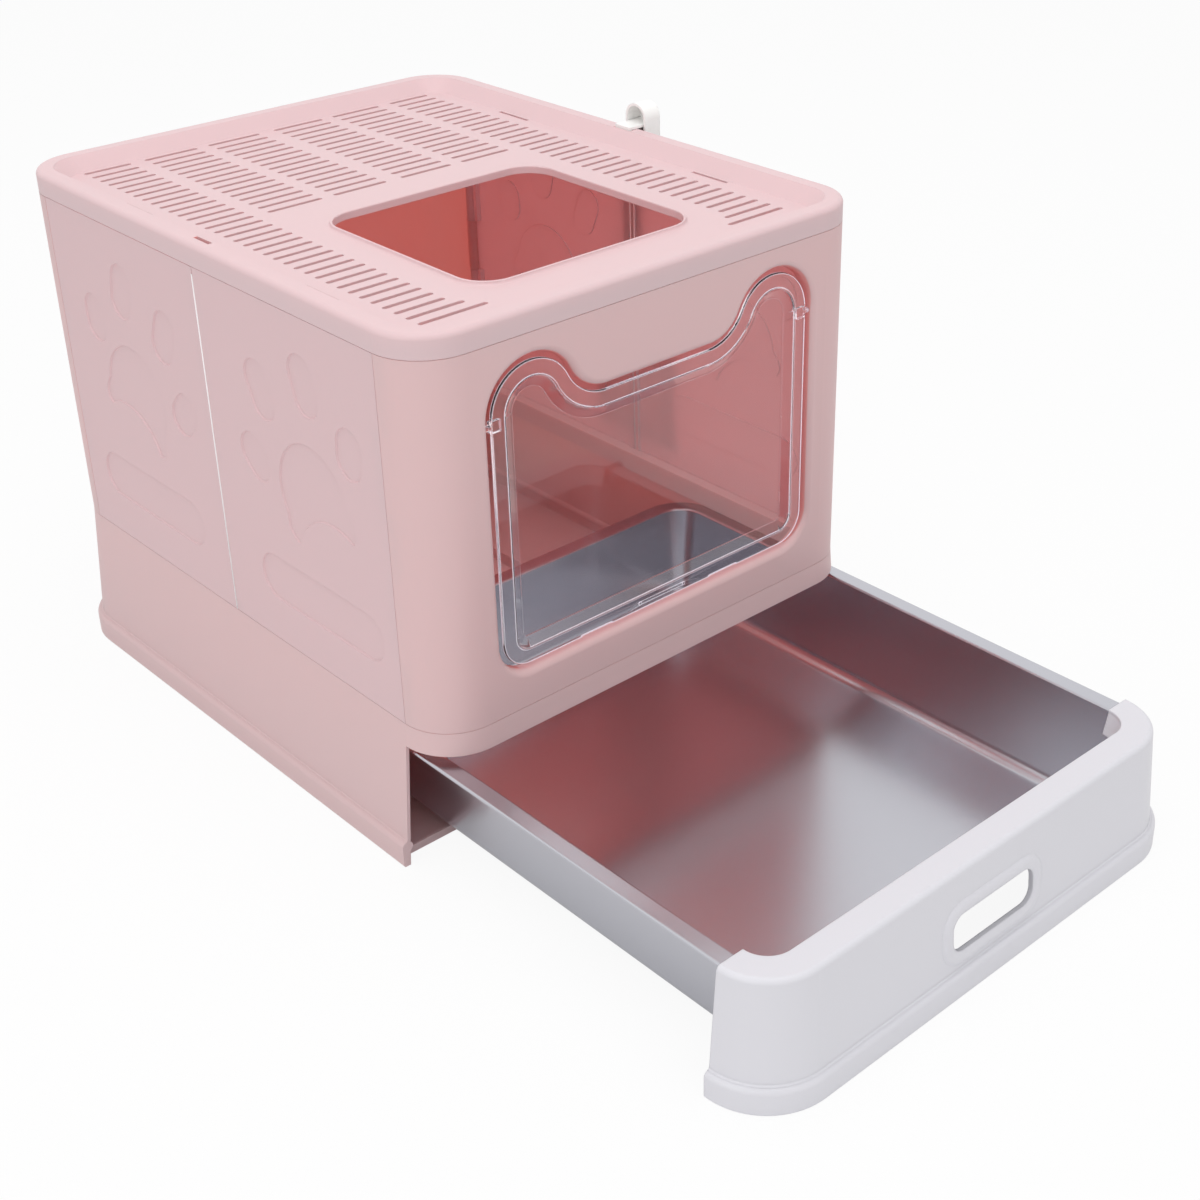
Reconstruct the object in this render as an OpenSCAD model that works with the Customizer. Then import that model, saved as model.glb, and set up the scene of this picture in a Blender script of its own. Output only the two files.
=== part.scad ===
// Drawer litter box: a lidded housing with four side wings that fold inwards on
// upright pins, a clear swinging flap in a cat-head window, a drawer with a steel
// tray, and a scoop that hangs on the lid's rim.
// +Z is up and the front looks towards -Y. The origin is the centre of the
// housing's base, at floor level. The drawer is drawn pulled out.

/* [Housing] */
// Outside width across the walls
housing_width = 400; // [396:2:420]
// Outside depth across the walls
housing_depth = 500; // [490:5:540]
// Radius of the upright corners
corner_radius = 40; // [37:1:42]
// Thickness of the moulded walls
wall = 2.6; // [2.4:0.1:2.8]
// Height of the seam between base and walls
base_height = 114.7; // [112:0.1:125]
// Height of the upright walls above that seam
wall_height = 267.9; // [262:0.1:290]
// How far the front and rear panels come round the sides
panel_return = 40; // [38:1:46]

/* [Base] */
// How far the base walls lean out between seam and floor
base_flare = 8.6; // [6:0.2:9]
// Height of the foot flange
flange_height = 20; // [16:1:24]
// How far the foot flange stands out from the seam line
flange_reach = 11.4; // [11:0.2:13]
// Height of the ring above the drawer
ring_depth = 17.3; // [14:0.1:19]
// Width of the ring, seen from above
ring_width = 12; // [11:0.5:13]
// Thickness of the floor
floor_thickness = 3; // [2.4:0.2:4]

/* [Drawer] */
// How far the drawer is pulled out as drawn
drawer_pull = 299; // [0:1:300]
// Width of the drawer front's top, seen from above
grip_width = 20.5; // [20.5:0.5:22]
// Length of the hand hole
hand_hole_length = 80; // [60:2:90]
// Height of the hand hole
hand_hole_height = 28; // [24:1:30]
// Height of the hand hole's middle above the floor
hand_hole_level = 48; // [47:1:50]
// Height of the tray's underside above the floor
tray_level = 14; // [12:1:18]
// Thickness of the tray's sheet
sheet = 0.8; // [0.6:0.1:1]
// Width of the tray's flat rim
tray_rim = 11.3; // [10:0.1:11.5]

/* [Lid] */
// Height of the lid above the walls
rim_height = 16.4; // [14:0.2:20]
// Width of the lid's rim, seen from above
rim_width = 13; // [12.5:0.5:14]
// How far the deck lies below the rim
deck_drop = 10.5; // [8:0.5:11]
// Thickness of the deck
deck_thickness = 3; // [2.6:0.1:3.2]
// Length of the top entry
entry_length = 184; // [150:2:186]
// Half width of the top entry
entry_half_width = 96.5; // [80:0.5:98]
// Distance from front rim to top entry
entry_setback = 66; // [62:1:70]
// Width of the vent slots
slot_width = 4; // [3:0.2:5]
// Distance between vent slot rows
slot_pitch = 12.5; // [11.5:0.5:16]

/* [Window] */
// Width of the cat-head window
window_width = 292; // [286:2:294]
// Height of the window's sill above the base
sill_rise = 27.3; // [22:0.1:32]
// Height from sill to the hollows between the ears
brow_rise = 186.3; // [180:0.1:190]
// Gap between flap and window
flap_gap = 4; // [3.5:0.1:4.5]
// Thickness of the flap's clear pane
pane = 2; // [1.6:0.2:2.4]

/* [Scoop] */
// Width of the scoop's handle
handle_width = 23; // [20:1:24]
// Depth of the scoop's channel
handle_depth = 16; // [12:1:18]
// Width of the scoop's blade
blade_width = 96; // [80:2:110]
// Length of the scoop's blade
blade_length = 118; // [100:2:124]

/* [Hidden] */
$fn = 48;

pink = [0.85, 0.68, 0.67];
clear = [0.9, 0.93, 0.95, 0.4];
steel = [0.68, 0.69, 0.7];
white = [0.93, 0.93, 0.95];

// clearances
seat = 0.3;
running = 0.05;
eps = 0.01;
// how far a round stands out beside a flat that it would otherwise only touch
proud = 0.02;

half_width = housing_width / 2;
half_depth = housing_depth / 2;
seam_level = base_height + wall_height;
rim_level = seam_level + rim_height;
deck_level = rim_level - deck_drop;
front_y = -half_depth;
panel_end_y = front_y + panel_return;

// base wall: outward offset of its outer face at a height
function lean(z) = base_flare * (base_height - z) / base_height;
lean_angle = atan(base_flare / base_height);
ring_level = base_height - ring_depth;
flange_round = flange_reach - lean(flange_height);
flange_foot_round = 1.5;
crease_round = 1.5;

// drawer levels, from the ring downwards
drawer_gap = 2.5;
drawer_top = ring_level - drawer_gap;
tray_rim_level = drawer_top - wall - seat;

// wing hinges: upright pins behind the seams at the panels' ends
pin_radius = 1.5;
knuckle_radius = 4;
knuckle_gap = 0.4;
hinge_x = half_width - wall - knuckle_gap - knuckle_radius;
knuckle_ends = [0, 0.187, 0.413, 0.587, 0.813, 1];
mid_seam_gap = 0.6;

// ---------- shared shapes ----------

// rounded rectangle from its half sizes
module rounded_outline(half_x, half_y, radius) {
    square([2 * half_x, 2 * (half_y - radius)], center = true);
    square([2 * (half_x - radius), 2 * half_y], center = true);
    for (sx = [-1, 1], sy = [-1, 1])
        translate([sx * (half_x - radius), sy * (half_y - radius)])
            circle(radius);
}

// carries a profile round a rounded rectangle: the profile's x is the distance
// outside that line and its y is the height
module around_box(half_x, half_y, radius) {
    for (turn = [0:3]) {
        across = turn % 2 == 0 ? half_x : half_y;
        along = turn % 2 == 0 ? half_y : half_x;
        rotate([0, 0, 90 * turn]) {
            translate([across, along - radius, 0])
                rotate([90, 0, 0])
                    linear_extrude(2 * (along - radius))
                        children();
            translate([across - radius, along - radius, 0])
                rotate_extrude(angle = 90)
                    translate([radius, 0])
                        children();
        }
    }
}

// keeps what lies in front of a level y
module in_front_of(y, low, high) {
    intersection() {
        children();
        translate([-housing_width, y - 2 * housing_depth, low])
            cube([2 * housing_width, 2 * housing_depth, high - low]);
    }
}

// keeps what lies behind a level y
module behind(y, low, high) {
    intersection() {
        children();
        translate([-housing_width, y, low])
            cube([2 * housing_width, 2 * housing_depth, high - low]);
    }
}

// raised stadium with sloping edges, from one end's middle to the other's
module soft_bar(start, end, radius, height) {
    step = end - start;
    run = norm(step);
    for (p = [start, end])
        translate([p[0], p[1], -eps])
            cylinder(h = height + eps, r1 = radius, r2 = radius - pad_edge);
    translate([start[0], start[1], 0])
        rotate([0, 0, atan2(step[1], step[0])])
            rotate([90, 0, 90])
                linear_extrude(run)
                    polygon([[proud - radius, -eps], [radius - proud, -eps],
                        [radius - proud - pad_edge, height], [proud + pad_edge - radius, height]]);
}

// ---------- base casing ----------

// cross-section of the flared wall and its foot flange, up to a height
module flared_wall(top) {
    inner_top = lean(top) - wall;
    inner_foot = lean(0) - wall;
    crease = lean(flange_height);
    bead_level = flange_height - flange_round;
    polygon([[inner_foot, 0], [lean(0), 0], [lean(top), top], [inner_top, top]]);
    translate([crease, bead_level])
        circle(flange_round);
    translate([inner_foot + eps, flange_foot_round])
        square([flange_reach - inner_foot - eps, bead_level - flange_foot_round]);
    translate([inner_foot + eps, 0])
        square([flange_reach - inner_foot - flange_foot_round - eps, 2 * flange_foot_round]);
    translate([flange_reach - flange_foot_round, flange_foot_round])
        circle(flange_foot_round);
    difference() {
        translate([crease - 1, flange_height - 0.2])
            square([1 + crease_round, crease_round + 0.2]);
        translate([crease + crease_round, flange_height + crease_round])
            circle(crease_round);
    }
}

module ring_section() {
    translate([-ring_width, base_height - wall])
        square([ring_width, wall]);
    translate([-ring_width, ring_level])
        square([wall, ring_depth]);
}

runner_x = 110;
runner_width = 6;
runner_margins = [5, 10];
base_floor_y = front_y + panel_return + 10;
threshold_thickness = 2.5;
threshold_height = 6;
lip_thickness = 2.4;
lip_offset = wall + 0.4;
lip_half_length = 140;
base_lip_height = 6;

module base_casing() {
    color(pink) {
        difference() {
            around_box(half_width, half_depth, corner_radius) {
                flared_wall(base_height);
                ring_section();
            }
            translate([-housing_width, front_y - corner_radius, -1])
                cube([2 * housing_width, panel_return + corner_radius, ring_level + 1]);
        }
        behind(base_floor_y, -1, base_height)
            linear_extrude(floor_thickness)
                rounded_outline(half_width + lean(0) - 1, half_depth + lean(0) - 1,
                    corner_radius + lean(0) - 1);
        for (side = [-1, 1])
            translate([side * runner_x - runner_width / 2, base_floor_y + runner_margins[0],
                floor_thickness - eps])
                cube([runner_width, half_depth - base_floor_y - runner_margins[0] - runner_margins[1],
                    tray_level - seat - floor_thickness + eps]);
        // threshold across the floor's front edge
        threshold_x = half_width + lean(0) - wall / 2;
        translate([-threshold_x, base_floor_y, 0])
            cube([2 * threshold_x, threshold_thickness, threshold_height]);
        for (end = [-1, 1])
            translate([-lip_half_length,
                end * (half_depth - lip_offset - lip_thickness / 2) - lip_thickness / 2,
                base_height - wall / 2])
                cube([2 * lip_half_length, lip_thickness, base_lip_height + wall / 2]);
    }
}

// ---------- panels and wings ----------

// walls all round, with a hairline below and above; the panels stand on their barrels
module panel_walls() {
    translate([0, 0, base_height + seat])
        linear_extrude(wall_height - 2 * seat)
            difference() {
                rounded_outline(half_width, half_depth, corner_radius);
                rounded_outline(half_width - wall, half_depth - wall, corner_radius - wall);
            }
}

// hinge barrels on the even or odd stretches of the seam at (hinge_x, 0), with
// the wall they grow from towards +y; the bore is pin_radius plus play
module knuckles(first, low, high, play) {
    height = high - low;
    difference() {
        for (i = [first:2:4]) {
            bottom = low + knuckle_ends[i] * height + (i > 0 ? seat / 2 : 0);
            top = low + knuckle_ends[i + 1] * height - (i < 4 ? seat / 2 : 0);
            translate([hinge_x, 0, bottom]) {
                cylinder(h = top - bottom, r = knuckle_radius);
                translate([0, seat, 0])
                    cube([knuckle_radius + knuckle_gap + eps, knuckle_radius * 2 - seat, top - bottom]);
            }
        }
        translate([hinge_x, 0, low - 1])
            cylinder(h = height + 2, r = pin_radius + play);
    }
}

module panel_knuckles(end) {
    for (side = [0, 1])
        mirror([side, 0, 0])
            translate([0, end * (half_depth - panel_return), 0])
                mirror([0, end < 0 ? 1 : 0, 0])
                    knuckles(0, base_height, seam_level - seat, 0);
}

// window outline, in the panel's plane: x across, y up, z out of the panel
ear_radius = 37.5;
brow_radius = 31;
window_corner = 26;
ear_x = window_width / 2 - ear_radius;
sill = base_height + sill_rise;
brow = sill + brow_rise;
brow_y = brow + brow_radius;
ear_rise = 1.2;
ear_y = brow + ear_rise;
// the brow arc touches the ear arc, which fixes its centre
brow_x = ear_x - sqrt(pow(ear_radius + brow_radius, 2) - pow(brow_y - ear_y, 2));
ear_slope = atan2(ear_y - brow_y, ear_x - brow_x);

module window_outline(inset) {
    low = sill + inset;
    side_x = window_width / 2 - inset;
    corner = window_corner - inset;
    difference() {
        union() {
            translate([0, (low + ear_y) / 2])
                square([2 * side_x, ear_y - low - 2 * corner], center = true);
            translate([0, low + corner])
                square([2 * (side_x - corner), 2 * corner], center = true);
            for (side = [-1, 1]) {
                translate([side * (side_x - corner), low + corner])
                    circle(corner);
                translate([side * (side_x - corner / 2), ear_y - corner - eps])
                    square([corner, 2 * corner + 2 * eps], center = true);
                translate([side * ear_x, ear_y])
                    circle(ear_radius - inset);
            }
            polygon([[-ear_x, ear_y - corner], [ear_x, ear_y - corner], [ear_x, ear_y],
                [brow_x, brow_y], [-brow_x, brow_y], [-ear_x, ear_y]]);
        }
        for (side = [-1, 1])
            translate([side * brow_x, brow_y])
                circle(brow_radius + inset);
        translate([-brow_x, brow - inset])
            square([2 * brow_x, 2 * brow_radius]);
    }
}

// a straight stretch of a border: middle, direction of its outward side, length
module border_run(middle, outward, length) {
    translate([middle[0], middle[1], 0])
        rotate([0, 0, outward])
            translate([0, length / 2, 0])
                rotate([90, 0, 0])
                    linear_extrude(length)
                        children();
}

// a round stretch of a border, with the outward side away from or towards the centre
module border_arc(centre, radius, start, end, outward = 1) {
    translate([centre[0], centre[1], 0])
        rotate([0, 0, start])
            rotate_extrude(angle = end - start)
                translate([radius, 0])
                    scale([outward, 1])
                        children();
}

// carries a profile round the window: the profile's x is the distance outside
// the outline and its y points out of the panel
module around_window() {
    side_low = sill + window_corner;
    for (side = [0, 1])
        mirror([side, 0, 0]) {
            border_run([window_width / 2, (side_low + ear_y) / 2], 0, ear_y - side_low)
                children();
            border_arc([window_width / 2 - window_corner, side_low], window_corner, -90, 0)
                children();
            border_arc([ear_x, ear_y], ear_radius, 0, 180 + ear_slope)
                children();
            border_arc([brow_x, brow_y], brow_radius, -90, ear_slope, -1)
                children();
        }
    border_run([0, sill], -90, window_width - 2 * window_corner)
        children();
    border_run([0, brow], 90, 2 * brow_x)
        children();
}

rim_round = 5;
rim_lap = 1;
reveal_depth = 10;
pivot_depth = 5;
pivot_drop = 2.3;
pivot_radius = 2;
pivot_reach = 2.3;

// rounded front edge and reveal of the window
module reveal_section() {
    intersection() {
        difference() {
            translate([rim_round, -rim_round])
                circle(rim_round);
            translate([rim_round, -rim_round])
                circle(rim_round - wall);
        }
        translate([0, -rim_round])
            square(rim_round);
    }
    translate([0, -reveal_depth])
        square([wall, reveal_depth - rim_round]);
    translate([rim_round, -wall])
        square([2 * rim_lap, wall]);
}

module front_panel() {
    color(pink) {
        difference() {
            union() {
                difference() {
                    in_front_of(panel_end_y, base_height, seam_level)
                        panel_walls();
                    translate([0, front_y + corner_radius / 2, 0])
                        rotate([90, 0, 0])
                            linear_extrude(corner_radius)
                                window_outline(-rim_round - rim_lap);
                }
                translate([0, front_y, 0])
                    rotate([90, 0, 0])
                        around_window()
                            reveal_section();
            }
            translate([-window_width / 2 - pivot_reach - 0.1, front_y + pivot_depth, brow - pivot_drop])
                rotate([0, 90, 0])
                    cylinder(h = window_width + 2 * pivot_reach + 0.2, r = pivot_radius + running);
        }
        panel_knuckles(-1);
    }
}

module rear_panel() {
    color(pink) {
        behind(-panel_end_y, base_height, seam_level)
            panel_walls();
        panel_knuckles(1);
    }
}

// where the front and rear wings' paw prints and bars lie, from the middle of the side
front_prints = [113.4, 119];
rear_prints = [98.9, 108];
paw_rise = 165.5;
paw_level = base_height + paw_rise;
paw_lean = 19.5;
emboss = 1.2;
pad_edge = 0.9;
bar_rise = 53.3;
bar_level = base_height + bar_rise;
bar_half_length = 55.7;
bar_radius = 18.3;
strip_width = 6;
strip_thickness = 1.5;

// the paw's four toes: middle, angle of lean, half length of the straight part, radius
toes = [[[-62.7, 0], -25, 4.5, 14.6], [[-29.3, 46.6], -4, 8, 14.3],
    [[29.3, 46.6], 4, 8, 14.3], [[62.7, 0], 25, 4.5, 14.6]];
// the paw's ball: a round with a lobe on each side and a hollow between them
ball = [0, -32];
ball_radius = 41;
lobe_top = [25, -31];
lobe_foot = [31, -51];
lobe_radius = 12.3;
hollow = [0, -93.7];
hollow_radius = 46.7;
print_inset = 1.5;

// raised paw print: x across, y up, z out of the wing
module paw_print() {
    for (toe = toes) {
        step = toe[2] * [sin(toe[1]), cos(toe[1])];
        soft_bar(toe[0] - step, toe[0] + step, toe[3], emboss);
    }
    difference() {
        union() {
            translate([ball[0], ball[1], -eps])
                cylinder(h = emboss + eps, r1 = ball_radius, r2 = ball_radius - pad_edge);
            for (side = [0, 1])
                mirror([side, 0, 0])
                    soft_bar(lobe_top, lobe_foot, lobe_radius, emboss);
        }
        translate([hollow[0], hollow[1], -emboss])
            cylinder(h = 3 * emboss, r1 = hollow_radius - pad_edge, r2 = hollow_radius + 2 * pad_edge);
    }
}

// flat stadium, from one end's middle to the other's
module flat_bar(start, end, radius) {
    step = end - start;
    for (p = [start, end])
        translate(p)
            circle(radius);
    translate((start + end) / 2)
        rotate(atan2(step[1], step[0]))
            square([norm(step), 2 * (radius - proud)], center = true);
}

// outline of the hollow behind the paw print
module paw_hollow() {
    for (toe = toes) {
        step = toe[2] * [sin(toe[1]), cos(toe[1])];
        flat_bar(toe[0] - step, toe[0] + step, toe[3] - print_inset);
    }
    difference() {
        union() {
            translate(ball)
                circle(ball_radius - print_inset);
            for (side = [0, 1])
                mirror([side, 0])
                    flat_bar(lobe_top, lobe_foot, lobe_radius - print_inset);
        }
        translate(hollow)
            circle(hollow_radius + print_inset);
    }
}

// the hollows behind a wing's prints, cut from its inner face
module print_hollows(prints) {
    translate([half_width - wall - 1, 0, 0])
        rotate([90, 0, 90])
            linear_extrude(emboss + 1) {
                translate([-prints[0], paw_level])
                    rotate(-paw_lean)
                        paw_hollow();
                translate([-prints[1], bar_level])
                    flat_bar([-bar_half_length, 0], [bar_half_length, 0], bar_radius - print_inset);
            }
}

// a wing on the right, front side; all others are mirror images
module wing(prints) {
    low = base_height + seat;
    high = seam_level - seat;
    length = half_depth - panel_return - seat - mid_seam_gap / 2;
    difference() {
        union() {
            translate([half_width - wall, panel_end_y + seat, low])
                cube([wall, length, high - low]);
            translate([half_width - wall - strip_thickness, -mid_seam_gap / 2 - strip_width, low])
                cube([strip_thickness + eps, strip_width, high - low]);
            translate([half_width, -prints[0], paw_level])
                rotate([90, 0, 90])
                    rotate([0, 0, -paw_lean])
                        paw_print();
            translate([half_width, -prints[1], bar_level])
                rotate([90, 0, 90])
                    soft_bar([-bar_half_length, 0], [bar_half_length, 0], bar_radius, emboss);
            translate([0, panel_end_y, 0])
                knuckles(1, base_height, high, running);
        }
        print_hollows(prints);
    }
}

module right_front_wing() {
    color(pink)
        wing(front_prints);
}

module right_rear_wing() {
    color(pink)
        mirror([0, 1, 0])
            wing(rear_prints);
}

module left_front_wing() {
    color(pink)
        mirror([1, 0, 0])
            wing(front_prints);
}

module left_rear_wing() {
    color(pink)
        mirror([1, 0, 0])
            mirror([0, 1, 0])
                wing(rear_prints);
}

module hinge_pin(side, end) {
    color(steel)
        translate([side * hinge_x, end * (half_depth - panel_return), base_height])
            cylinder(h = wall_height - seat, r = pin_radius);
}

module left_front_pin() {
    hinge_pin(-1, -1);
}

module left_rear_pin() {
    hinge_pin(-1, 1);
}

module right_front_pin() {
    hinge_pin(1, -1);
}

module right_rear_pin() {
    hinge_pin(1, 1);
}

// ---------- lid ----------

lid_round = 4;
// where the sloping inside of the rim meets the deck, inside the outer line
deck_edge = rim_width + deck_drop;
entry_corner = 24;
entry_lip = 2;
entry_lip_rise = 2.8;
entry_fillet = 2.5;
entry_y = front_y + entry_setback + entry_length / 2;
tab_slot = [3, 37];
tab_slot_y = 117;
tab_slot_gap = 3;
scoop_slot = [3.4, 19];
scoop_slot_inset = 10.4;
scoop_y = -2;
lid_lip_drop = 5;

// vent slot columns: inner and outer end, measured from the middle
centre_column_inset = 90;
centre_columns = [[7, 53.5], [64, half_width - centre_column_inset]];
side_column_insets = [78, 39];
side_column = [half_width - side_column_insets[0], half_width - side_column_insets[1]];
// how much further in the foremost rows run, past the entry's corners
front_reaches = [15, 6];
slot_margins = [45.5, 22.5];
slot_entry_gap = 38;
first_slot_y = front_y + slot_margins[0];
slot_rows = floor((housing_depth - slot_margins[0] - slot_margins[1] - slot_width / 2) / slot_pitch) + 1;
rear_rows_y = front_y + entry_setback + entry_length + slot_entry_gap;

module rim_section() {
    // level width of the slope's wall
    slope_wall = 0.9 * wall;
    translate([-wall, seam_level])
        square([wall, rim_height - lid_round]);
    intersection() {
        difference() {
            translate([-lid_round, rim_level - lid_round])
                circle(lid_round);
            translate([-lid_round, rim_level - lid_round])
                circle(lid_round - wall);
        }
        translate([-lid_round, rim_level - lid_round])
            square(lid_round);
    }
    translate([-rim_width, rim_level - wall])
        square([rim_width - lid_round, wall]);
    polygon([[-rim_width, rim_level], [-deck_edge, deck_level],
        [-deck_edge, deck_level - deck_thickness],
        [slope_wall - deck_edge, deck_level - deck_thickness],
        [slope_wall - rim_width, rim_level - wall]]);
}

module vent_slot(inner, outer, y) {
    round_end = slot_width / 2;
    translate([inner + round_end, y - round_end])
        square([outer - inner - slot_width, slot_width]);
    for (x = [inner + round_end, outer - round_end])
        translate([x, y])
            circle(round_end, $fn = 24);
}

module vent_slots() {
    for (row = [0:slot_rows - 1], side = [0, 1]) {
        y = first_slot_y + row * slot_pitch;
        reach = row < len(front_reaches) ? front_reaches[row] : 0;
        mirror([side, 0, 0]) {
            vent_slot(side_column[0] - reach, side_column[1], y);
            if (y > rear_rows_y)
                for (column = centre_columns)
                    vent_slot(column[0], column[1], y);
        }
    }
}

module deck_outline() {
    difference() {
        rounded_outline(half_width - deck_edge + eps, half_depth - deck_edge + eps,
            corner_radius - deck_edge + eps);
        translate([0, entry_y])
            rounded_outline(entry_half_width, entry_length / 2, entry_corner);
        vent_slots();
        for (side = [-1, 1], end = [-1, 1])
            translate([side * (half_width - deck_edge - tab_slot_gap), end * tab_slot_y])
                square(tab_slot, center = true);
    }
}

module entry_lip_section() {
    low = deck_level - deck_thickness;
    top = deck_level + entry_lip_rise;
    translate([0, low])
        square([entry_lip, top - low - entry_lip / 2]);
    translate([entry_lip / 2, top - entry_lip / 2])
        circle(entry_lip / 2);
    difference() {
        translate([entry_lip - 0.2, deck_level - 0.2])
            square([entry_fillet + 0.2, 2]);
        translate([entry_lip + entry_fillet, deck_level + entry_fillet])
            circle(entry_fillet);
    }
}

module lid() {
    color(pink) {
        difference() {
            around_box(half_width, half_depth, corner_radius)
                rim_section();
            for (side = [-1, 1])
                translate([side * (half_width - scoop_slot_inset) - scoop_slot[0] / 2,
                    scoop_y - scoop_slot[1] / 2, rim_level - wall - 1])
                    cube([scoop_slot[0], scoop_slot[1], wall + 2]);
        }
        translate([0, 0, deck_level - deck_thickness])
            linear_extrude(deck_thickness)
                deck_outline();
        translate([0, entry_y, 0])
            around_box(entry_half_width, entry_length / 2, entry_corner)
                entry_lip_section();
        for (end = [-1, 1])
            translate([-lip_half_length,
                end * (half_depth - lip_offset - lip_thickness / 2) - lip_thickness / 2,
                seam_level - lid_lip_drop])
                cube([2 * lip_half_length, lip_thickness, rim_height + lid_lip_drop - wall + 0.2]);
    }
}

// ---------- door flap ----------

// the flap is a sheet: a level band along its edge, a bead, and a slope down to the pane
flap_face = 2.5;
band_width = 11;
slope_width = 8;
slope_drop = 3.25;
pane_lap = 1;
flap_edge = 0.6;
flap_bead = 0.8;
bead_inset = flap_gap + band_width;
pane_inset = bead_inset + slope_width;
pane_face = flap_face + slope_drop;
pivot_block = 8;
// two shallow notches in the bottom edge and two small bosses above it
notch = [28, 1.2];
notch_x = 61;
boss_radius = 1.3;
boss_x = 21;
boss_rise = 0.3;

module flap_border_section() {
    polygon([[-flap_gap, -flap_face - pane], [-flap_gap, -flap_face - flap_edge],
        [-flap_gap - flap_edge, -flap_face], [-bead_inset, -flap_face], [-pane_inset, -pane_face],
        [-pane_inset - pane_lap, -pane_face], [-pane_inset - pane_lap, -pane_face - pane],
        [-pane_inset, -pane_face - pane], [-bead_inset, -flap_face - pane]]);
    translate([-bead_inset, -flap_face - flap_bead / 2])
        circle(flap_bead, $fn = 24);
}

module door_flap() {
    flap_half_width = window_width / 2 - flap_gap;
    flap_foot = sill + flap_gap;
    color(clear) {
        difference() {
            translate([0, front_y, 0])
                rotate([90, 0, 0]) {
                    around_window()
                        flap_border_section();
                    translate([0, 0, -pane_face - pane])
                        linear_extrude(pane)
                            window_outline(pane_inset + pane_lap / 2);
                }
            for (side = [-1, 1])
                translate([side * notch_x - notch[0] / 2, front_y, flap_foot - 1])
                    cube([notch[0], pivot_depth + pane, notch[1] + 1]);
        }
        for (side = [-1, 1]) {
            translate([side * (flap_half_width - pivot_block / 2),
                front_y + (flap_face + pane / 2 + pivot_depth + pivot_radius) / 2, brow - pivot_drop])
                cube([pivot_block, pivot_depth + pivot_radius - flap_face - pane / 2, pivot_block],
                    center = true);
            translate([side * (flap_half_width - pivot_block / 2), front_y + pivot_depth,
                brow - pivot_drop])
                rotate([0, side * 90, 0])
                    cylinder(h = pivot_block / 2 + flap_gap + pivot_reach, r = pivot_radius);
            translate([side * boss_x, front_y + flap_face + pane / 2, flap_foot + band_width / 2])
                rotate([90, 0, 0])
                    cylinder(h = pane / 2 + boss_rise, r = boss_radius, $fn = 24);
        }
    }
}

// ---------- drawer ----------

drawer_round = 4;
grip_skirt = 2;
grip_skirt_depth = 18;
skirt_lean = 4.5;
rail_width = 9;
rail_thickness = 2;
tray_bead = 1.6;

// what a rounded edge takes off: the sector outside a circle between two angles
module edge_cut(centre, radius, start, end) {
    reach = 3 * radius;
    translate(centre)
        difference() {
            polygon([[0, 0], reach * [cos(start), sin(start)],
                reach * [cos((start + end) / 2), sin((start + end) / 2)],
                reach * [cos(end), sin(end)]]);
            circle(radius + proud);
        }
}

module drawer_section() {
    inner = -grip_width;
    round_level = drawer_top - drawer_round;
    difference() {
        union() {
            flared_wall(drawer_top);
            translate([inner, drawer_top - wall])
                square([lean(drawer_top) - inner, wall]);
        }
        edge_cut([lean(round_level) - drawer_round / cos(lean_angle), round_level],
            drawer_round, lean_angle, 90);
        edge_cut([inner + 1, drawer_top - 1], 1, 90, 180);
    }
    // inner skirt, leaning like the tray's wall
    polygon([[inner, drawer_top - wall], [inner + grip_skirt, drawer_top - wall],
        [inner + grip_skirt - skirt_lean, drawer_top - grip_skirt_depth],
        [inner - skirt_lean, drawer_top - grip_skirt_depth]]);
    // rail under the tray's rim
    translate([lean(tray_rim_level) - wall - rail_width + 1,
        tray_rim_level - 2 * tray_bead - seat - rail_thickness])
        square([rail_width, rail_thickness]);
}

hand_border = 10;
hand_border_rise = 2.4;
hand_border_lap = 1;
hand_corner = 10;

// places a shape on the leaning front face at the hand hole's level: x across,
// y up the face, z out of it
module on_drawer_face() {
    translate([0, front_y - lean(hand_hole_level), hand_hole_level])
        rotate([90 - lean_angle, 0, 0])
            children();
}

module hand_border_section() {
    chord = hand_border + hand_border_lap;
    crown = (pow(chord / 2, 2) + pow(hand_border_rise, 2)) / (2 * hand_border_rise);
    intersection() {
        translate([chord / 2 - hand_border_lap, hand_border_rise - crown])
            circle(crown);
        translate([-hand_border_lap, -1])
            square([chord, hand_border_rise + 1]);
    }
}

module drawer_front() {
    color(white)
        translate([0, -drawer_pull, 0])
            difference() {
                union() {
                    in_front_of(panel_end_y - seat, -1, base_height)
                        around_box(half_width, half_depth, corner_radius)
                            drawer_section();
                    on_drawer_face()
                        around_box(hand_hole_length / 2, hand_hole_height / 2, hand_corner)
                            hand_border_section();
                }
                on_drawer_face()
                    translate([0, 0, -20])
                        linear_extrude(40)
                            rounded_outline(hand_hole_length / 2, hand_hole_height / 2, hand_corner);
            }
}

tray_play = 1.9;
tray_round = 36;
bend = 1.2;
tray_fillet = 10;
tray_taper = 10;
tray_half_width = half_width + lean(tray_rim_level) - wall - tray_play;
tray_front_y = front_y - lean(tray_rim_level) + wall + tray_play;
tray_rear_y = half_depth - 9;

// the tray's wall runs straight between a bend under the rim and a floor fillet
rim_bend = [-tray_rim, tray_rim_level - sheet - bend];
foot_bend = [-tray_rim - tray_taper - tray_fillet - 2, tray_level + sheet + tray_fillet];
bend_step = rim_bend - foot_bend;
tray_lean = acos((tray_fillet + bend + sheet) / norm(bend_step)) - atan2(bend_step[1], bend_step[0]);
wall_normal = [cos(tray_lean), -sin(tray_lean)];
wall_step = [sin(tray_lean), cos(tray_lean)] * 0.1;
foot_lap = 1;

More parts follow.
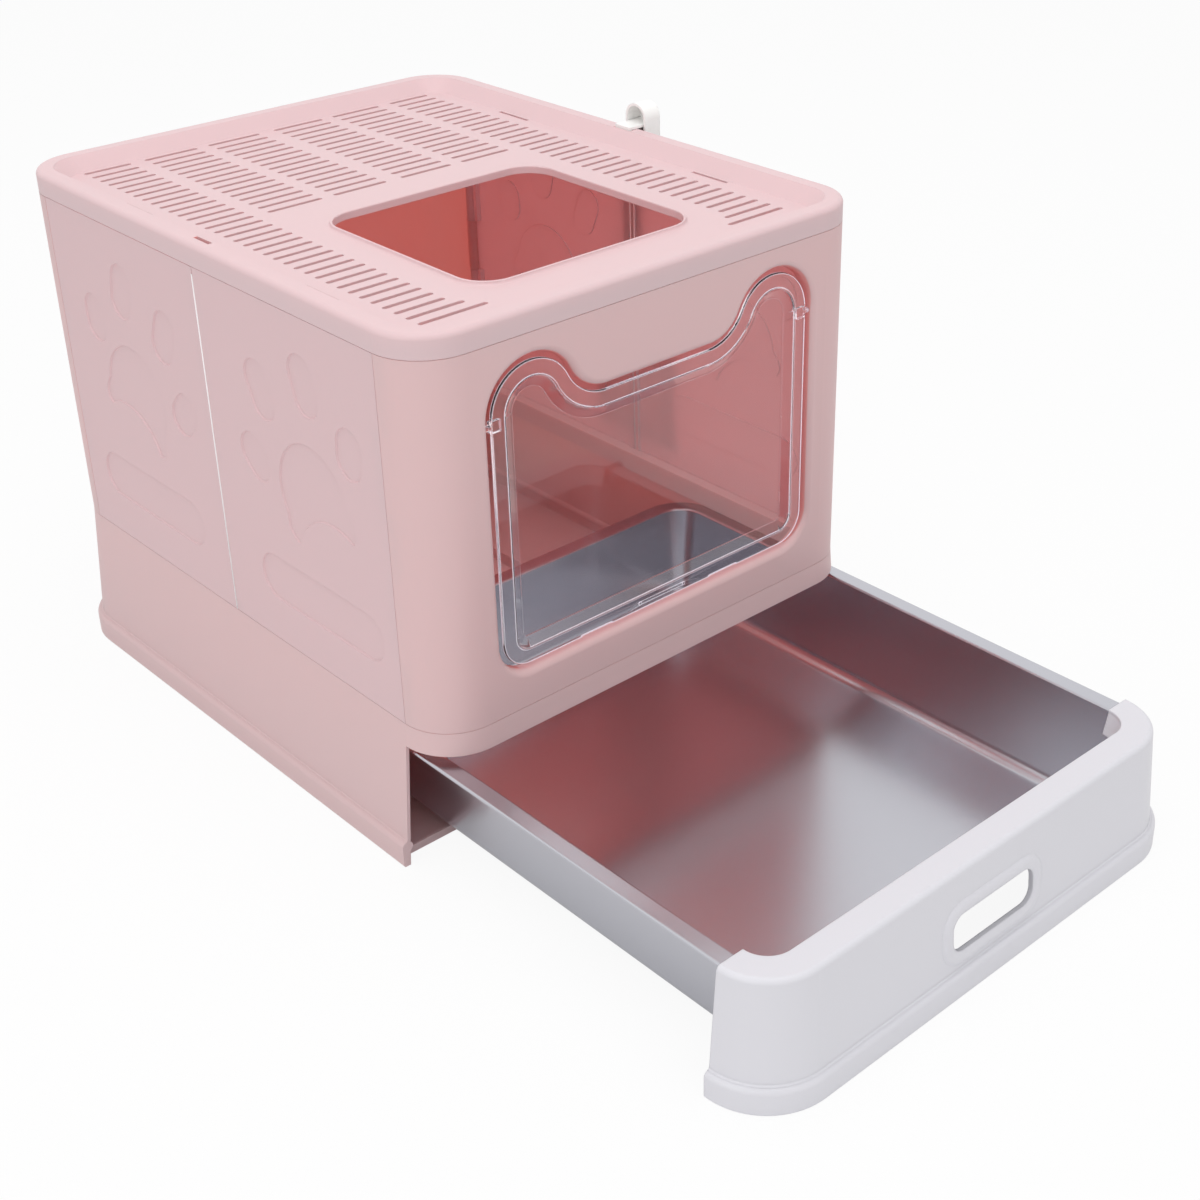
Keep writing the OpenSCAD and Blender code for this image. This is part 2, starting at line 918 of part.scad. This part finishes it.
// bent strip between two angles, from its inside radius
module bent_strip(centre, inside, start, end) {
    reach = 2 * (inside + sheet);
    translate(centre)
        intersection() {
            difference() {
                circle(inside + sheet);
                circle(inside);
            }
            polygon([[0, 0], reach * [cos(start), sin(start)],
                reach * [cos((start + end) / 2), sin((start + end) / 2)],
                reach * [cos(end), sin(end)]]);
        }
}

module tray_section() {
    translate([-tray_rim - 0.05, tray_rim_level - sheet])
        square([tray_rim + 0.05 - tray_bead, sheet]);
    translate([-tray_bead, tray_rim_level - tray_bead])
        circle(tray_bead);
    bent_strip(rim_bend, bend, 90, 180 - tray_lean);
    polygon([rim_bend - (bend + sheet) * wall_normal + wall_step,
        rim_bend - bend * wall_normal + wall_step,
        foot_bend + (tray_fillet + sheet) * wall_normal - wall_step,
        foot_bend + tray_fillet * wall_normal - wall_step]);
    bent_strip(foot_bend, tray_fillet, -90, -tray_lean);
    translate([foot_bend[0] - foot_lap, tray_level])
        square([foot_lap + 0.1, sheet]);
}

module litter_tray() {
    half_length = (tray_rear_y - tray_front_y) / 2;
    color(steel)
        translate([0, (tray_rear_y + tray_front_y) / 2 - drawer_pull, 0]) {
            around_box(tray_half_width, half_length, tray_round)
                tray_section();
            translate([0, 0, tray_level])
                linear_extrude(sheet)
                    rounded_outline(tray_half_width + foot_bend[0] - foot_lap / 2,
                        half_length + foot_bend[0] - foot_lap / 2,
                        tray_round + foot_bend[0] - foot_lap / 2);
        }
}

// ---------- scoop ----------

scoop_wall = 2;
scoop_gap = 2.5;
handle_rise = 17.5;
hook_width = 17.5;
hook_drop = 9;
neck_length = 34;
handle_length = 118;
blade_slot = 6;
blade_bar = 6;

// outline of the scoop: x across the handle, y up
module scoop_outline(inset) {
    top = rim_level + handle_rise - handle_width / 2;
    neck = rim_level - handle_length;
    shoulder = neck - neck_length;
    half_handle = handle_width / 2 - inset;
    half_blade = blade_width / 2 - inset;
    foot = shoulder - blade_length + inset;
    translate([0, top])
        circle(half_handle);
    polygon([[-half_handle, top], [-half_handle, neck], [-half_blade, shoulder], [-half_blade, foot],
        [half_blade, foot], [half_blade, shoulder], [half_handle, neck], [half_handle, top]]);
}

module scoop() {
    outer_x = half_width + scoop_gap + handle_depth;
    shoulder = rim_level - handle_length - neck_length;
    slots = floor((blade_width - 2 * blade_bar) / (blade_slot + blade_bar));
    slots_width = slots * blade_slot + (slots - 1) * blade_bar;
    hook_x = half_width - scoop_slot_inset;
    tongue_level = rim_level + seat;
    color(white)
        translate([0, scoop_y, 0]) {
            translate([outer_x, 0, 0])
                rotate([90, 0, -90])
                    difference() {
                        linear_extrude(handle_depth)
                            scoop_outline(0);
                        translate([0, 0, scoop_wall])
                            linear_extrude(handle_depth)
                                scoop_outline(scoop_wall);
                        for (i = [0:slots - 1])
                            translate([i * (blade_slot + blade_bar) - slots_width / 2,
                                shoulder - blade_length + blade_bar + scoop_wall, -1])
                                cube([blade_slot, blade_length - 2 * blade_bar, scoop_wall + 2]);
                    }
            // tongue over the rim, ending in a hook down into the rim's slot
            translate([hook_x - scoop_wall / 2, -hook_width / 2, tongue_level])
                cube([outer_x - hook_x, hook_width, scoop_wall]);
            translate([hook_x - scoop_wall / 2, -hook_width / 2, tongue_level - hook_drop])
                cube([scoop_wall, hook_width, hook_drop + eps]);
        }
}

base_casing();
front_panel();
rear_panel();
left_front_wing();
left_rear_wing();
right_front_wing();
right_rear_wing();
left_front_pin();
left_rear_pin();
right_front_pin();
right_rear_pin();
lid();
door_flap();
litter_tray();
drawer_front();
scoop();
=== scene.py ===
"""Drawer litter box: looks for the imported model, in metres and in its frame."""

import math

import bmesh
import bpy
from mathutils import Matrix, Vector


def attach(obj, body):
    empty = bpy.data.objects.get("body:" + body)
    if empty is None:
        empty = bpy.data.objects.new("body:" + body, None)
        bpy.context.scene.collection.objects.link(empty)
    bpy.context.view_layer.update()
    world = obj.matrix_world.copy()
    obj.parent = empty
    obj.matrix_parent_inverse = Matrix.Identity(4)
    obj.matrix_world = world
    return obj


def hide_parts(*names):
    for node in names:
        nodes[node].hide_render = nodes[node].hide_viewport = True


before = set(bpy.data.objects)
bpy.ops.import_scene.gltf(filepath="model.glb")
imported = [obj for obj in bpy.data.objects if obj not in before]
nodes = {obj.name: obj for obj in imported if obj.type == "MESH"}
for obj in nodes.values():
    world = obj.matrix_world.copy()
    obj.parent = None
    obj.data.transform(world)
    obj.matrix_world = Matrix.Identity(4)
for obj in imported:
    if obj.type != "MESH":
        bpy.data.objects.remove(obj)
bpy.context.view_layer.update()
MM = 0.001


# ---------- camera ----------

CAMERA_PLACE = (-0.77806, -1.09556, 0.81672)
CAMERA_AZIMUTH = -43.11
CAMERA_ELEVATION = 28.61
CAMERA_ROLL = 0.40
CAMERA_CLIP = 0.01
LENS_MM = 56.0
SENSOR_MM = 36.0
SHIFT = (-0.0649, -0.0444)


def camera_turn(azimuth, elevation, roll):
    """Camera rotation from its azimuth, elevation and roll in degrees."""
    a, e, r = (math.radians(v) for v in (azimuth, elevation, roll))
    back = Vector((math.sin(a) * math.cos(e), -math.cos(a) * math.cos(e), math.sin(e)))
    right = Vector((math.cos(a), math.sin(a), 0))
    up = back.cross(right)
    rolled_right = right * math.cos(r) - up * math.sin(r)
    rolled_up = right * math.sin(r) + up * math.cos(r)
    return Matrix((rolled_right, rolled_up, back)).transposed()


def place_camera():
    """Camera at the main view, with its lens shifted off the middle."""
    lens = bpy.data.cameras.new("camera")
    lens.lens = LENS_MM
    lens.sensor_width = SENSOR_MM
    lens.shift_x, lens.shift_y = SHIFT
    lens.clip_start = CAMERA_CLIP
    camera = bpy.data.objects.new("camera", lens)
    turn = camera_turn(CAMERA_AZIMUTH, CAMERA_ELEVATION, CAMERA_ROLL)
    camera.matrix_world = Matrix.Translation(CAMERA_PLACE) @ turn.to_4x4()
    bpy.context.scene.collection.objects.link(camera)
    bpy.context.scene.camera = camera


# ---------- helpers ----------


def colour(hexed, alpha=1.0):
    """Linear colour from an sRGB hex value."""
    parts = [int(hexed[i : i + 2], 16) / 255 for i in (1, 3, 5)]
    linear = [c / 12.92 if c <= 0.04045 else ((c + 0.055) / 1.055) ** 2.4 for c in parts]
    return (*linear, alpha)


def node(tree, kind, settings=None, links=None):
    """Adds a node, sets its properties and inputs, and links other nodes' outputs to its inputs."""
    made = tree.nodes.new(kind)
    for key, value in (settings or {}).items():
        if isinstance(key, str) and hasattr(made, key):
            setattr(made, key, value)
        else:
            made.inputs[key].default_value = value
    for key, source in (links or {}).items():
        tree.links.new(source, made.inputs[key])
    return made


def new_material(name):
    """Empty material, its node tree and its output node."""
    made = bpy.data.materials.new(name)
    made.use_nodes = True
    tree = made.node_tree
    tree.nodes.clear()
    output = tree.nodes.new("ShaderNodeOutputMaterial")
    return made, tree, output


def finished_piece(name, shape, material):
    """Piece of the scene made of a bmesh, at the origin and in one material."""
    mesh = bpy.data.meshes.new(name)
    shape.to_mesh(mesh)
    shape.free()
    mesh.materials.append(material)
    piece = bpy.data.objects.new(name, mesh)
    bpy.context.scene.collection.objects.link(piece)
    return piece


def dress(names, material):
    """Gives CAD nodes a material."""
    for name in names:
        mesh = nodes[name].data
        mesh.materials.clear()
        mesh.materials.append(material)


# ---------- moulded plastic ----------

POLYPROPYLENE_IOR = 1.49
# patches of more and less gloss, as a large mould leaves them
GLOSS_PATCH = 60 * MM
# the real skin's grain is a few tenths of a millimetre and wouldn't show, so it is drawn coarser
SKIN_GRAIN = 1.2 * MM
SKIN_DEPTH = 0.05 * MM
SKIN_STRENGTH = 0.05
# a point inside the housing that its walls' inner faces look at
HOUSING_MIDDLE = (0, 0, 0.1)
# the heights between which inner faces go from letting through little light to much, a painted ramp
# standing in for the interior lit brighter and redder high up than near its floor
DIM_BELOW_Z = 20 * MM
LIT_ABOVE_Z = 150 * MM


def painted_glow_share(tree, place, shares, sides):
    """How much light a thin wall lets through: shares give it for the outer faces and for the
    inner ones high up. The light that passes is real, but where it passes is painted: inner faces,
    higher up, get more of the red glow, standing in for light bounced and filtered inside the
    housing. Inner faces look at the housing's middle along the axes in sides."""
    outer_share, inner_share = shares
    middle = tuple(-along * at for along, at in zip(sides, HOUSING_MIDDLE))
    outward = node(tree, "ShaderNodeMapping", {"Location": middle, "Scale": sides},
                   {"Vector": place.outputs["Object"]})
    facing = node(tree, "ShaderNodeVectorMath", {"operation": "DOT_PRODUCT"},
                  {0: place.outputs["Normal"], 1: outward.outputs["Vector"]})
    inside = node(tree, "ShaderNodeMath", {"operation": "LESS_THAN", 1: 0.0},
                  {0: facing.outputs["Value"]})
    height = node(tree, "ShaderNodeSeparateXYZ", {}, {"Vector": place.outputs["Object"]})
    inner = node(tree, "ShaderNodeMapRange",
                 {"From Min": DIM_BELOW_Z, "From Max": LIT_ABOVE_Z,
                  "To Min": outer_share, "To Max": inner_share},
                 {"Value": height.outputs["Z"]})
    share = node(tree, "ShaderNodeMapRange", {"To Min": outer_share},
                 {"Value": inside.outputs["Value"], "To Max": inner.outputs["Result"]})
    return share.outputs["Result"]


def moulded_plastic(name, hexed, roughness, edge_mm, glow=None, shares=None, sides=(1, 1, 1)):
    """Injection-moulded polypropylene: satin, slightly uneven gloss and rounded edges. Where it
    has shares, it is a thin wall that light shines through in the colour of its glow; how much of
    that glow each face shows is painted, more on inner faces high up, standing in for the housing's
    inner light."""
    made, tree, output = new_material(name)
    place = node(tree, "ShaderNodeTexCoord")
    patches = node(tree, "ShaderNodeTexNoise", {"Scale": 1 / GLOSS_PATCH, "Detail": 3.0},
                   {"Vector": place.outputs["Object"]})
    grain = node(tree, "ShaderNodeTexNoise", {"Scale": 1 / SKIN_GRAIN, "Detail": 2.0},
                 {"Vector": place.outputs["Object"]})
    gloss = node(tree, "ShaderNodeMapRange",
                 {"To Min": roughness - 0.05, "To Max": roughness + 0.07},
                 {"Value": patches.outputs["Fac"]})
    edges = node(tree, "ShaderNodeBevel", {"samples": 4, "Radius": edge_mm * MM})
    skin = node(tree, "ShaderNodeBump", {"Strength": SKIN_STRENGTH, "Distance": SKIN_DEPTH},
                {"Height": grain.outputs["Fac"], "Normal": edges.outputs["Normal"]})
    plastic = node(tree, "ShaderNodeBsdfPrincipled",
                   {"Base Color": colour(hexed), "IOR": POLYPROPYLENE_IOR},
                   {"Roughness": gloss.outputs["Result"], "Normal": skin.outputs["Normal"]})
    surface = plastic.outputs["BSDF"]
    if shares:
        through = node(tree, "ShaderNodeBsdfTranslucent", {"Color": colour(glow)})
        wall = node(tree, "ShaderNodeMixShader", {},
                    {0: painted_glow_share(tree, place, shares, sides), 1: surface,
                     2: through.outputs["BSDF"]})
        surface = wall.outputs["Shader"]
    tree.links.new(surface, output.inputs["Surface"])
    return made


# ---------- steel ----------

# the finish runs in lines across the tray, drawn coarser than the real ones so that they show
LINE_LENGTH = 12 * MM
LINE_NARROWING = 14.0


def satin_steel(name, hexed, roughness):
    """Deep-drawn stainless sheet with a satin finish: soft long reflections."""
    made, tree, output = new_material(name)
    place = node(tree, "ShaderNodeTexCoord")
    stretch = node(tree, "ShaderNodeMapping", {"Scale": (1.0, LINE_NARROWING, 1.0)},
                   {"Vector": place.outputs["Object"]})
    lines = node(tree, "ShaderNodeTexNoise", {"Scale": 1 / LINE_LENGTH, "Detail": 4.0},
                 {"Vector": stretch.outputs["Vector"]})
    gloss = node(tree, "ShaderNodeMapRange",
                 {"To Min": roughness - 0.03, "To Max": roughness + 0.05},
                 {"Value": lines.outputs["Fac"]})
    steel = node(tree, "ShaderNodeBsdfPrincipled",
                 {"Base Color": colour(hexed), "Metallic": 1.0},
                 {"Roughness": gloss.outputs["Result"]})
    tree.links.new(steel.outputs["BSDF"], output.inputs["Surface"])
    return made


# ---------- clear plastic ----------

# painted highlight on the flap: edges are found where the rounded normal leaves the face's own,
# # and get a pale, faintly glowing shader; the cosines between the two at which an edge's painted
# # highlight begins to show and is at full strength
EDGE_RADIUS = 1.3 * MM
EDGE_BEGINS = 0.995
EDGE_FULL = 0.92
EDGE_HIGHLIGHT_SHARE = 0.9
# the small blocks at the flap's pivots, whose edges get less of the painted highlight
PIVOT_BLOCK_X = 138.0 * MM
PIVOT_BLOCK_Z = 326.0 * MM
PIVOT_BLOCK_REACH = 6.0 * MM
PIVOT_BLOCK_HIGHLIGHT_SHARE = 0.35


def painted_edge_highlight(tree):
    """How much of the painted edge highlight shows: much on rims and beads, less on the pivot
    blocks.
    """
    face = node(tree, "ShaderNodeNewGeometry")
    rounded = node(tree, "ShaderNodeBevel", {"samples": 8, "Radius": EDGE_RADIUS})
    turn = node(tree, "ShaderNodeVectorMath", {"operation": "DOT_PRODUCT"},
                {0: rounded.outputs["Normal"], 1: face.outputs["Normal"]})
    rim = node(tree, "ShaderNodeMapRange",
               {"From Min": EDGE_BEGINS, "From Max": EDGE_FULL, "To Min": 0.0,
                "To Max": EDGE_HIGHLIGHT_SHARE},
               {"Value": turn.outputs["Value"]})
    place = node(tree, "ShaderNodeTexCoord")
    across = node(tree, "ShaderNodeSeparateXYZ", {}, {"Vector": place.outputs["Object"]})
    from_middle = node(tree, "ShaderNodeMath", {"operation": "ABSOLUTE"},
                       {0: across.outputs["X"]})
    beside = node(tree, "ShaderNodeMath",
                  {"operation": "COMPARE", 1: PIVOT_BLOCK_X, 2: PIVOT_BLOCK_REACH},
                  {0: from_middle.outputs["Value"]})
    level = node(tree, "ShaderNodeMath",
                 {"operation": "COMPARE", 1: PIVOT_BLOCK_Z, 2: PIVOT_BLOCK_REACH},
                 {0: across.outputs["Z"]})
    on_block = node(tree, "ShaderNodeMath", {"operation": "MULTIPLY"},
                    {0: beside.outputs["Value"], 1: level.outputs["Value"]})
    dulling = node(tree, "ShaderNodeMapRange", {"To Min": 1.0, "To Max": PIVOT_BLOCK_HIGHLIGHT_SHARE},
                   {"Value": on_block.outputs["Value"]})
    bright = node(tree, "ShaderNodeMath", {"operation": "MULTIPLY"},
                  {0: rim.outputs["Result"], 1: dulling.outputs["Result"]})
    return bright.outputs["Value"]


def clear_plastic(name):
    """Clear polystyrene sheet, glossy from the mould: it bends the view a little, its rims and
    beads are painted with a white, faintly glowing highlight, and light for the pieces behind it
    goes straight through."""
    made, tree, output = new_material(name)
    body = node(tree, "ShaderNodeBsdfPrincipled",
                {"Base Color": colour("#FDFBFC"), "Roughness": 0.03, "IOR": 1.45,
                 "Transmission Weight": 1.0})
    # painted highlight: pale plastic that glows a little, mixed onto rims and beads
    painted_edge_glow = node(tree, "ShaderNodeBsdfPrincipled",
                    {"Base Color": colour("#F6F1FA"), "Roughness": 0.15, "IOR": 1.49,
                     "Emission Color": colour("#F2ECFA"), "Emission Strength": 0.38})
    seen = node(tree, "ShaderNodeMixShader", {},
                {0: painted_edge_highlight(tree), 1: body.outputs["BSDF"], 2: painted_edge_glow.outputs["BSDF"]})
    straight = node(tree, "ShaderNodeBsdfTransparent", {"Color": colour("#F4F1F5")})
    rays = node(tree, "ShaderNodeLightPath")
    lighting = node(tree, "ShaderNodeMath", {"operation": "MAXIMUM"},
                    {0: rays.outputs["Is Shadow Ray"], 1: rays.outputs["Is Diffuse Ray"]})
    sheet = node(tree, "ShaderNodeMixShader", {},
                 {0: lighting.outputs["Value"], 1: seen.outputs["Shader"],
                  2: straight.outputs["BSDF"]})
    tree.links.new(sheet.outputs["Shader"], output.inputs["Surface"])
    return made


# ---------- materials on the pieces ----------

# pale pink polypropylene: a soft sheen outside, and a warm red glow where light comes through, its
# share painted by face and height to stand in for the light inside the housing
pink = moulded_plastic("pink_polypropylene", "#E8CCCD", roughness=0.36, edge_mm=0.5,
                       glow="#FFB6AD", shares=(0.12, 0.55))
# the same in the lid, whose underside is its inner face
lid_pink = moulded_plastic("pink_polypropylene_lid", "#E7CDD0", roughness=0.36, edge_mm=0.5,
                           glow="#FFBBB2", shares=(0.08, 0.5), sides=(0, 0, 1))
# the same in the flat wings, whose inner faces look across the housing
wing_pink = moulded_plastic("pink_polypropylene_wing", "#E7CDD0", roughness=0.36, edge_mm=0.5,
                            glow="#FBBDBC", shares=(0.12, 0.5), sides=(1, 0, 0))
# painted highlight: near-white plastic for the seam beads, standing in for the glint that moulded
# edges catch, which reads as a thin pale line
painted_highlight_edge = moulded_plastic("painted_highlight_polypropylene", "#FFF8F9", roughness=0.3, edge_mm=0.3)
# thick cool white polypropylene, smoother than the pink
white = moulded_plastic("white_polypropylene", "#E4E3E9", roughness=0.3, edge_mm=1.0)
# thin warm white polypropylene of the scoop
ivory = moulded_plastic("ivory_polypropylene", "#FFFFFD", roughness=0.32, edge_mm=0.6)
# satin stainless sheet: bright, with blurred reflections of the pink walls
tray_steel = satin_steel("satin_stainless_steel", "#C5C5CC", roughness=0.235)
# drawn wire of the pins: greyer and duller
wire_steel = satin_steel("drawn_steel_wire", "#A0A0A4", roughness=0.35)
clear = clear_plastic("clear_polystyrene")

CORNERS = ["left_front", "left_rear", "right_front", "right_rear"]

dress(["base_casing", "front_panel", "rear_panel"], pink)
dress(["lid"], lid_pink)
dress([corner + "_wing" for corner in CORNERS], wing_pink)
dress([corner + "_pin" for corner in CORNERS], wire_steel)
dress(["drawer_front"], white)
dress(["scoop"], ivory)
dress(["litter_tray"], tray_steel)
dress(["door_flap"], clear)


# ---------- wings with sunk prints ----------

SIDES = {"left": -1, "right": 1}
WALL_FACE_X = 200.0 * MM
WALL_BACK_X = 197.4 * MM
PRINT_REACH_Y = 196.0 * MM
SLACK = 0.02 * MM
WING_WELD = 0.001 * MM


def sink_prints(corner, side, material):
    """Copy of a wing whose prints are pressed into the outer face, with the wall behind them
    pushed inwards by as much, so that it keeps its thickness."""
    wing = corner + "_wing"
    shape = bmesh.new()
    shape.from_mesh(nodes[wing].data)
    bmesh.ops.remove_doubles(shape, verts=shape.verts, dist=WING_WELD)
    within = [v for v in shape.verts if abs(v.co.y) < PRINT_REACH_Y]
    raised = [v for v in within if side * v.co.x > WALL_FACE_X + SLACK]
    backs = [v for v in within if WALL_BACK_X + SLACK < side * v.co.x < WALL_FACE_X - SLACK]
    for moved, plane in ((raised, WALL_FACE_X), (backs, WALL_BACK_X)):
        bmesh.ops.scale(shape, vec=(-1, 1, 1), verts=moved,
                        space=Matrix.Translation((-side * plane, 0, 0)))
    piece = finished_piece(wing + "_sunk_prints", shape, material)
    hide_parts(wing)
    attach(piece, corner)


for hand, side in SIDES.items():
    for end in ("front", "rear"):
        sink_prints(hand + "_" + end, side, wing_pink)


# ---------- clear flap ----------

# the plane in which an ear meets the brow, on the flap's right half; the left mirrors it
JOINT_TILT = Vector((0.4353, 0, 0.9003))
JOINT_OFFSET = 343.74 * MM
JOINT_FROM_X = 77 * MM
JOINT_TO_X = 97 * MM
JOINT_SLACK = 0.2 * MM
JOINT_PARALLEL = 0.995
FLAP_WELD = 0.002 * MM


def in_joint(face):
    """Whether a face lies in the plane where an ear meets the brow, on either side."""
    middle = face.calc_center_median()
    side = math.copysign(1, middle.x)
    place = Vector((side * middle.x, 0, middle.z))
    tilt = Vector((side * face.normal.x, 0, face.normal.z))
    near = abs(place.dot(JOINT_TILT) - JOINT_OFFSET) < JOINT_SLACK
    parallel = abs(tilt.dot(JOINT_TILT)) > JOINT_PARALLEL
    return near and parallel and JOINT_FROM_X < place.x < JOINT_TO_X


def whole_flap(material):
    """Copy of the flap without the two doubled faces inside it where an ear meets the brow."""
    shape = bmesh.new()
    shape.from_mesh(nodes["door_flap"].data)
    bmesh.ops.remove_doubles(shape, verts=shape.verts, dist=FLAP_WELD)
    doubled = [face for face in shape.faces if in_joint(face)]
    bmesh.ops.delete(shape, geom=doubled, context="FACES")
    piece = finished_piece("door_flap_clear", shape, material)
    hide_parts("door_flap")
    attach(piece, "door")


whole_flap(clear)


# ---------- seam beads, painted pale as highlights ---

BASE_SEAM_Z = 114.7 * MM
BEAD_CLEARANCE = 0.6 * MM
BEAD_FOOT_Z = BASE_SEAM_Z + BEAD_CLEARANCE
BEAD_TOP_Z = 377.0 * MM
BEAD_RISE = 0.3 * MM
SEAM_BEAD_Y = 0.65 * MM
SEAM_BEAD_WIDTH = 1.8 * MM
STRIP_FACE_X = 195.9 * MM
STRIP_BEAD_Y = {"near": -5.6 * MM, "far": -0.9 * MM}
STRIP_BEAD_WIDTH = 1.2 * MM


def seam_highlight_bead(name, body, x, y, width, material):
    """Low half-round bead down the meeting edge of two wings, on a wall face at x, in pale plastic:
    a painted highlight standing in for the light the seam's edge catches. It is a flat oval rod,
    half of it sunk in the wall."""
    shape = bmesh.new()
    bmesh.ops.create_cone(shape, cap_ends=True, cap_tris=False, segments=24, radius1=1, radius2=1,
                          depth=1)
    bmesh.ops.scale(shape, vec=(BEAD_RISE, width / 2, BEAD_TOP_Z - BEAD_FOOT_Z),
                    verts=shape.verts)
    bmesh.ops.translate(shape, vec=(x, y, (BEAD_TOP_Z + BEAD_FOOT_Z) / 2), verts=shape.verts)
    for face in shape.faces:
        face.smooth = True
    piece = finished_piece(name, shape, material)
    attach(piece, body)


# pale beads on the outer seams and at the inner strip's edges: painted highlights
for hand, side in SIDES.items():
    seam_highlight_bead(hand + "_seam_highlight_bead", hand + "_rear", side * WALL_FACE_X, SEAM_BEAD_Y,
              SEAM_BEAD_WIDTH, painted_highlight_edge)
    for edge, y in STRIP_BEAD_Y.items():
        seam_highlight_bead(hand + "_strip_highlight_bead_" + edge, hand + "_front", side * STRIP_FACE_X, y,
                  STRIP_BEAD_WIDTH, painted_highlight_edge)


# ---------- studio ----------

FLOOR_SIZE = 12.0
WHITE = (1, 1, 1, 1)
# how far the floor is a plain white glow to the camera and through clear plastic, and in mirrors
FLOOR_SEEN_SHARE = 0.92
FLOOR_MIRRORED_SHARE = 0.2
# the world lights the box at this strength and is seen at 1, as white
WORLD_LIGHT = 0.56
LAMP_TARGET = (0, -0.1, 0.2)


def seen_directly(tree, rays):
    """1 for rays from the camera and for those that passed through clear plastic."""
    seen = node(tree, "ShaderNodeMath", {"operation": "MAXIMUM"},
                {0: rays.outputs["Is Camera Ray"], 1: rays.outputs["Is Transmission Ray"]})
    return seen.outputs["Value"]


def studio_floor():
    """Pale floor that keeps the box's shadow, reads white to the camera and is faint in gloss."""
    made, tree, output = new_material("studio_floor")
    rays = node(tree, "ShaderNodeLightPath")
    direct = node(tree, "ShaderNodeMath", {"operation": "MULTIPLY", 1: FLOOR_SEEN_SHARE},
                  {0: seen_directly(tree, rays)})
    amount = node(tree, "ShaderNodeMath",
                  {"operation": "MULTIPLY_ADD", 1: FLOOR_MIRRORED_SHARE},
                  {0: rays.outputs["Is Glossy Ray"], 2: direct.outputs["Value"]})
    paint = node(tree, "ShaderNodeBsdfDiffuse", {"Color": colour("#F2F2F2")})
    glow = node(tree, "ShaderNodeEmission", {"Color": WHITE, "Strength": 1.0})
    mixed = node(tree, "ShaderNodeMixShader", {},
                 {0: amount.outputs["Value"], 1: paint.outputs["BSDF"],
                  2: glow.outputs["Emission"]})
    tree.links.new(mixed.outputs["Shader"], output.inputs["Surface"])
    shape = bmesh.new()
    bmesh.ops.create_grid(shape, x_segments=1, y_segments=1, size=FLOOR_SIZE / 2)
    floor = finished_piece("floor", shape, made)


def studio_world():
    """Even soft light from all round, white to the camera, in gloss and through clear plastic."""
    world = bpy.data.worlds.new("studio")
    world.use_nodes = True
    tree = world.node_tree
    tree.nodes.clear()
    output = tree.nodes.new("ShaderNodeOutputWorld")
    rays = node(tree, "ShaderNodeLightPath")
    seen = node(tree, "ShaderNodeMath", {"operation": "MAXIMUM"},
                {0: seen_directly(tree, rays), 1: rays.outputs["Is Glossy Ray"]})
    light = node(tree, "ShaderNodeBackground", {"Color": WHITE, "Strength": WORLD_LIGHT})
    white_view = node(tree, "ShaderNodeBackground", {"Color": WHITE, "Strength": 1.0})
    mixed = node(tree, "ShaderNodeMixShader", {},
                 {0: seen.outputs["Value"], 1: light.outputs["Background"],
                  2: white_view.outputs["Background"]})
    tree.links.new(mixed.outputs["Shader"], output.inputs["Surface"])
    bpy.context.scene.world = world


def soft_lamp(name, place, size, power, mirrored=True):
    """Square soft light aimed at the box; where it isn't mirrored, gloss doesn't show it."""
    data = bpy.data.lights.new(name, "AREA")
    data.size = size
    data.energy = power
    lamp = bpy.data.objects.new(name, data)
    lamp.location = place
    lamp.visible_glossy = mirrored
    aim = Vector(LAMP_TARGET) - Vector(place)
    lamp.rotation_euler = aim.to_track_quat("-Z", "Y").to_euler()
    bpy.context.scene.collection.objects.link(lamp)


place_camera()
studio_world()
studio_floor()
soft_lamp("top_softbox", (-0.2, -0.3, 2.6), size=2.2, power=30, mirrored=False)
soft_lamp("left_softbox", (-2.4, -0.6, 1.2), size=1.8, power=8)
soft_lamp("front_fill", (-0.4, -3.0, 1.6), size=3.0, power=8, mirrored=False)

bpy.context.scene.view_settings.view_transform = "Standard"
